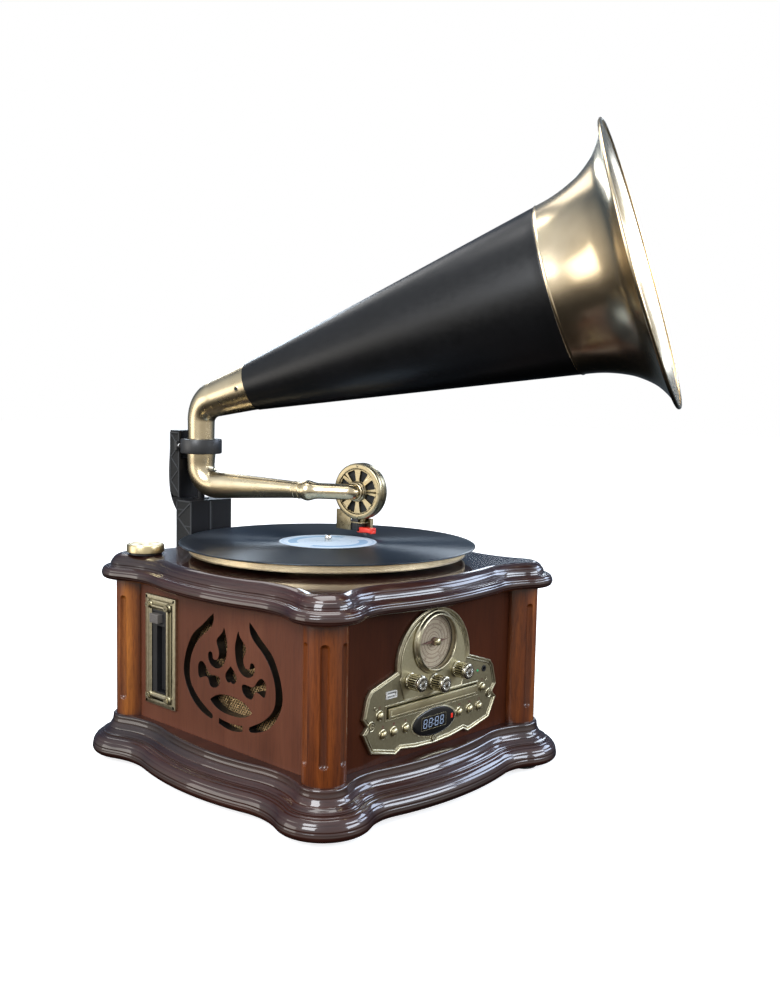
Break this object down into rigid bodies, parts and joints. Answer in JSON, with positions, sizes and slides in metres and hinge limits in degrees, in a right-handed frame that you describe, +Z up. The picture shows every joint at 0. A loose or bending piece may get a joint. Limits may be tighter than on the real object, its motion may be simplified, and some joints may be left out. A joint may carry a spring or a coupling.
{
  "type": "record player",
  "caption": "Table-top phonograph: serpentine wooden cabinet, turntable, swinging tone arm, large tapered horn on a rear bracket, and radio, disc and cassette controls.",
  "frame": {"origin": "centre of the cabinet's four corner columns, on the surface that the feet stand on", "axes": "+Z up along the turntable spindle, +X to the right seen from the control panel, +Y to the rear"},
  "size_m": [0.4878, 0.533, 0.6412],
  "materials": {
    "walnut": "glossy lacquer over red-brown stain",
    "honey_wood": "glossy amber lacquer",
    "board": "raw hardboard",
    "rubber": "matt",
    "antique_brass": "antiqued, darkened in the recesses",
    "soft_brass": "satin",
    "chrome": "ribbed barrel, faceted face",
    "cream_card": "printed scale rings",
    "clear_glass": "clear",
    "black_gloss": "polished",
    "black_plastic": "moulded",
    "grey_plastic": "satin",
    "brass_mesh": "expanded diamond mesh",
    "circuit_green": "solder mask",
    "steel": "plated",
    "gold_platter": "satin with a dotted band",
    "polished_brass": "polished",
    "black_paint": "satin black",
    "red_plastic": "translucent red"
  },
  "bodies": {
    "cabinet": {"base_moulding": "walnut", "top_board": "walnut", "front_panel": "walnut", "left_panel": "walnut", "right_panel": "walnut", "rear_panel": "walnut", "corner_columns": "honey_wood", "bottom_board": "board", "feet": "rubber", "drive_belt": "rubber", "faceplate": "antique_brass", "dial_bezel": "antique_brass", "cassette_bezel": "antique_brass", "screws": "soft_brass", "usb_socket": "chrome", "dial_card": "cream_card", "dial_glass": "clear_glass", "display_window": "black_gloss", "headphone_socket": "black_plastic", "cd_mechanism": "black_plastic", "cassette_mechanism": "black_plastic", "power_inlet": "black_plastic", "audio_sockets": "black_plastic", "horn_bracket": "black_plastic", "clamp_ring": "black_plastic", "loudspeakers": "black_plastic", "speaker_meshes": "brass_mesh", "circuit_boards": "circuit_green", "transformer": "steel", "motor": "steel", "spindle_bearing": "steel"},
    "turntable": {"platter": "gold_platter", "spindle": "chrome", "record": "black_gloss"},
    "pulley": {"motor_pulley": "chrome"},
    "horn": {"horn_neck": "polished_brass", "horn_cone": "black_paint", "horn_bell": "polished_brass"},
    "arm": {"tone_arm": "polished_brass"},
    "pickup_head": {"gooseneck": "polished_brass", "sound_box": "polished_brass", "headshell": "polished_brass", "cartridge": "black_plastic", "stylus": "red_plastic"},
    "dial_hand": {"dial_pointer": "antique_brass"},
    "volume": {"volume_knob": "chrome"},
    "function": {"function_knob": "chrome"},
    "tuning": {"tuning_knob": "chrome"},
    "drawer": {"cd_tray": "soft_brass"},
    "key": {"eject_key": "grey_plastic"},
    "flap": {"cassette_flap": "black_plastic"},
    "adapter": {"single_adapter": "gold_platter"},
    "power_key": {"power_button": "soft_brass"},
    "eject_key": {"eject_button": "soft_brass"},
    "stop_key": {"stop_button": "soft_brass"},
    "play_key": {"play_button": "soft_brass"},
    "mode_key": {"mode_button": "soft_brass"},
    "previous_key": {"previous_button": "soft_brass"},
    "next_key": {"next_button": "soft_brass"},
    "repeat_key": {"repeat_button": "soft_brass"}
  },
  "joints": [
    {"name": "platter_spin", "type": "hinge", "parent": "cabinet", "child": "turntable", "pos_m": [0.004, 0.004, 0.22], "axis": [0, 0, 1], "continuous": true},
    {"name": "pulley_spin", "type": "hinge", "parent": "cabinet", "child": "pulley", "pos_m": [-0.0632, 0.0712, 0.21], "axis": [0, 0, 1], "continuous": true},
    {"name": "horn_turn", "type": "hinge", "parent": "cabinet", "child": "horn", "pos_m": [-0.0274, 0.177, 0.32], "axis": [0, 0, 1], "range_deg": [-25, 35]},
    {"name": "tonearm_swing", "type": "hinge", "parent": "cabinet", "child": "arm", "pos_m": [-0.0274, 0.177, 0.27], "axis": [0, 0, 1], "range_deg": [-2, 38]},
    {"name": "head_flip", "type": "hinge", "parent": "arm", "child": "pickup_head", "pos_m": [0.01775, 0.05296, 0.2726], "axis": [0.342, -0.9397, 0], "range_deg": [0, 100]},
    {"name": "dial_turn", "type": "hinge", "parent": "cabinet", "child": "dial_hand", "pos_m": [0, -0.147, 0.1474], "axis": [0, -1, 0], "range_deg": [-144, 144]},
    {"name": "volume_turn", "type": "hinge", "parent": "cabinet", "child": "volume", "pos_m": [-0.033, -0.155, 0.1155], "axis": [0, -1, 0], "range_deg": [-150, 150]},
    {"name": "function_turn", "type": "hinge", "parent": "cabinet", "child": "function", "pos_m": [0, -0.155, 0.109], "axis": [0, -1, 0], "range_deg": [-60, 60]},
    {"name": "tuning_turn", "type": "hinge", "parent": "cabinet", "child": "tuning", "pos_m": [0.033, -0.155, 0.1155], "axis": [0, -1, 0], "range_deg": [-480, 480]},
    {"name": "power_button_press", "type": "slide", "parent": "cabinet", "child": "power_key", "axis": [0, 1, 0], "range_m": [0, 0.0012], "stiffness_N_per_m": 500, "springref_m": -0.001},
    {"name": "eject_button_press", "type": "slide", "parent": "cabinet", "child": "eject_key", "axis": [0, 1, 0], "range_m": [0, 0.0012], "stiffness_N_per_m": 500, "springref_m": -0.001},
    {"name": "stop_button_press", "type": "slide", "parent": "cabinet", "child": "stop_key", "axis": [0, 1, 0], "range_m": [0, 0.0012], "stiffness_N_per_m": 500, "springref_m": -0.001},
    {"name": "play_button_press", "type": "slide", "parent": "cabinet", "child": "play_key", "axis": [0, 1, 0], "range_m": [0, 0.0012], "stiffness_N_per_m": 500, "springref_m": -0.001},
    {"name": "mode_button_press", "type": "slide", "parent": "cabinet", "child": "mode_key", "axis": [0, 1, 0], "range_m": [0, 0.0012], "stiffness_N_per_m": 500, "springref_m": -0.001},
    {"name": "previous_button_press", "type": "slide", "parent": "cabinet", "child": "previous_key", "axis": [0, 1, 0], "range_m": [0, 0.0012], "stiffness_N_per_m": 500, "springref_m": -0.001},
    {"name": "next_button_press", "type": "slide", "parent": "cabinet", "child": "next_key", "axis": [0, 1, 0], "range_m": [0, 0.0012], "stiffness_N_per_m": 500, "springref_m": -0.001},
    {"name": "repeat_button_press", "type": "slide", "parent": "cabinet", "child": "repeat_key", "axis": [0, 1, 0], "range_m": [0, 0.0012], "stiffness_N_per_m": 500, "springref_m": -0.001},
    {"name": "drawer_slide", "type": "slide", "parent": "cabinet", "child": "drawer", "axis": [0, -1, 0], "range_m": [0, 0.125]},
    {"name": "eject_press", "type": "slide", "parent": "cabinet", "child": "key", "axis": [1, 0, 0], "range_m": [0, 0.003], "stiffness_N_per_m": 400, "springref_m": -0.001},
    {"name": "flap_swing", "type": "hinge", "parent": "cabinet", "child": "flap", "pos_m": [-0.1369, 0.092, 0.11], "axis": [0, 0, 1], "range_deg": [0, 75], "stiffness_Nm_per_rad": 0.002, "springref_deg": -17.19},
    {"name": "adapter_lift", "type": "slide", "parent": "cabinet", "child": "adapter", "axis": [0, 0, 1], "range_m": [0, 0.02]}
  ],
  "couplings": [
    {"joint": "pulley_spin", "follows": "platter_spin", "ratio": 11.2},
    {"joint": "dial_turn", "follows": "tuning_turn", "ratio": 0.3}
  ]
}
